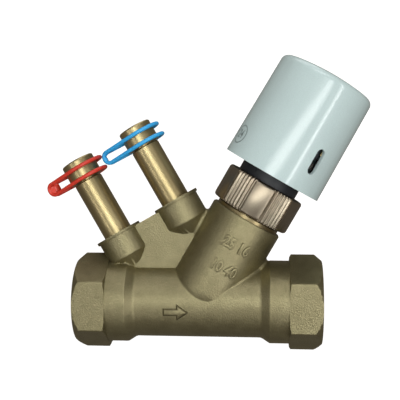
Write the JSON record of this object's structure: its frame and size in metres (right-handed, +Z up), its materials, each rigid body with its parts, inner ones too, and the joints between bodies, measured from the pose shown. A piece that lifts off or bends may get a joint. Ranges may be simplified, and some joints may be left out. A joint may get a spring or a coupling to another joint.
{
  "type": "motorized balancing valve",
  "caption": "Inline brass balancing valve with an inclined neck, two capped test nipples and a round screw-on electric actuator.",
  "frame": {"origin": "centre of the inlet end face, on the flow axis", "axes": "+X along the flow towards the outlet, +Z up, neck leaning towards the outlet in the XZ plane, window side towards -Y"},
  "size_m": [0.1505, 0.0531, 0.1367],
  "materials": {
    "cast_brass": "sand-cast, blasted",
    "turned_brass": "fine turned",
    "nickel_brass": "nickel plated, knurled",
    "steel": "bright drawn",
    "spring_steel": "drawn wire",
    "black_rubber": "moulded",
    "black_plastic": "moulded, glass filled",
    "white_plastic": "moulded, satin gloss",
    "gear_plastic": "moulded acetal",
    "dial_plastic": "moulded",
    "signal_plastic": "moulded",
    "board": "solder mask",
    "board_parts": "moulded",
    "motor_can": "drawn, zinc plated",
    "red_plastic": "moulded, soft",
    "blue_plastic": "moulded, soft"
  },
  "bodies": {
    "valve": {"valve_body": "cast_brass", "bonnet": "turned_brass", "bonnet_o_ring": "black_rubber", "red_nipple": "turned_brass", "red_nipple_seal": "black_rubber", "red_septum": "black_rubber", "red_strap": "red_plastic", "blue_nipple": "turned_brass", "blue_nipple_seal": "black_rubber", "blue_septum": "black_rubber", "blue_strap": "blue_plastic"},
    "throttle": {"preset_sleeve": "turned_brass", "preset_dial": "dial_plastic", "gland_screw": "turned_brass", "stem_o_ring": "black_rubber", "spring_seat": "steel", "return_spring": "spring_steel"},
    "stem": {"valve_stem": "steel", "valve_plug": "turned_brass", "plug_seal": "black_rubber", "plug_nut": "steel", "spring_cup": "steel"},
    "actuator": {"actuator_base": "black_plastic", "actuator_housing": "white_plastic", "cable_grommet": "black_rubber", "nut_snap_ring": "spring_steel", "gear_plate": "steel", "plate_screws": "steel", "idler_pin": "steel", "motor": "motor_can", "circuit_board": "board", "board_posts": "turned_brass", "board_parts": "board_parts"},
    "nut": {"union_nut": "nickel_brass"},
    "drive_wheel": {"drive_wheel": "gear_plastic"},
    "idler": {"idler_gear": "gear_plastic"},
    "rotor": {"motor_shaft": "steel", "motor_pinion": "turned_brass"},
    "plunger": {"plunger": "steel", "indicator": "signal_plastic"},
    "red_cap_lift": {"red_cap_seal": "black_rubber"},
    "red_cap": {"red_cap": "turned_brass"},
    "blue_cap_lift": {"blue_cap_seal": "black_rubber"},
    "blue_cap": {"blue_cap": "turned_brass"}
  },
  "joints": [
    {"name": "actuator_lift", "type": "slide", "parent": "valve", "child": "actuator", "axis": [0.5, 0, 0.866], "range_m": [0, 0.009]},
    {"name": "nut_turn", "type": "hinge", "parent": "actuator", "child": "nut", "pos_m": [0.084, 0, 0.04763], "axis": [0.5, 0, 0.866], "range_deg": [0, 2161]},
    {"name": "preset_turn", "type": "hinge", "parent": "valve", "child": "throttle", "pos_m": [0.084, 0, 0.04763], "axis": [0.5, 0, 0.866], "range_deg": [0, 270]},
    {"name": "stem_stroke", "type": "slide", "parent": "valve", "child": "stem", "axis": [-0.5, 0, -0.866], "range_m": [0, 0.004], "deforming": ["return_spring"]},
    {"name": "drive_wheel_turn", "type": "hinge", "parent": "actuator", "child": "drive_wheel", "pos_m": [0.0965, 0, 0.06928], "axis": [0.5, 0, 0.866], "range_deg": [0, 720]},
    {"name": "plunger_stroke", "type": "slide", "parent": "actuator", "child": "plunger", "axis": [-0.5, 0, -0.866], "range_m": [0, 0.004]},
    {"name": "idler_turn", "type": "hinge", "parent": "actuator", "child": "idler", "pos_m": [0.10398, 0.00904, 0.06496], "axis": [0.5, 0, 0.866], "range_deg": [-2881, 0]},
    {"name": "rotor_turn", "type": "hinge", "parent": "actuator", "child": "rotor", "pos_m": [0.099, 0.013, 0.07361], "axis": [0.5, 0, 0.866], "range_deg": [0, 8066]},
    {"name": "red_cap_rise", "type": "slide", "parent": "valve", "child": "red_cap_lift", "axis": [-0.5, 0, 0.866], "range_m": [0, 0.004]},
    {"name": "red_cap_turn", "type": "hinge", "parent": "red_cap_lift", "child": "red_cap", "pos_m": [0.0009, 0, 0.06235], "axis": [-0.5, 0, 0.866], "range_deg": [0, 1441]},
    {"name": "blue_cap_rise", "type": "slide", "parent": "valve", "child": "blue_cap_lift", "axis": [-0.5, 0, 0.866], "range_m": [0, 0.004]},
    {"name": "blue_cap_turn", "type": "hinge", "parent": "blue_cap_lift", "child": "blue_cap", "pos_m": [0.02809, 0, 0.07805], "axis": [-0.5, 0, 0.866], "range_deg": [0, 1441]}
  ],
  "couplings": [
    {"joint": "nut_turn", "follows": "actuator_lift", "rad_per_m": 4188.8},
    {"joint": "plunger_stroke", "follows": "drive_wheel_turn", "m_per_rad": 0.00031831},
    {"joint": "stem_stroke", "follows": "drive_wheel_turn", "m_per_rad": 0.00031831},
    {"joint": "idler_turn", "follows": "drive_wheel_turn", "ratio": -4},
    {"joint": "rotor_turn", "follows": "drive_wheel_turn", "ratio": 11.2},
    {"joint": "red_cap_turn", "follows": "red_cap_rise", "rad_per_m": 6283.2},
    {"joint": "blue_cap_turn", "follows": "blue_cap_rise", "rad_per_m": 6283.2}
  ]
}
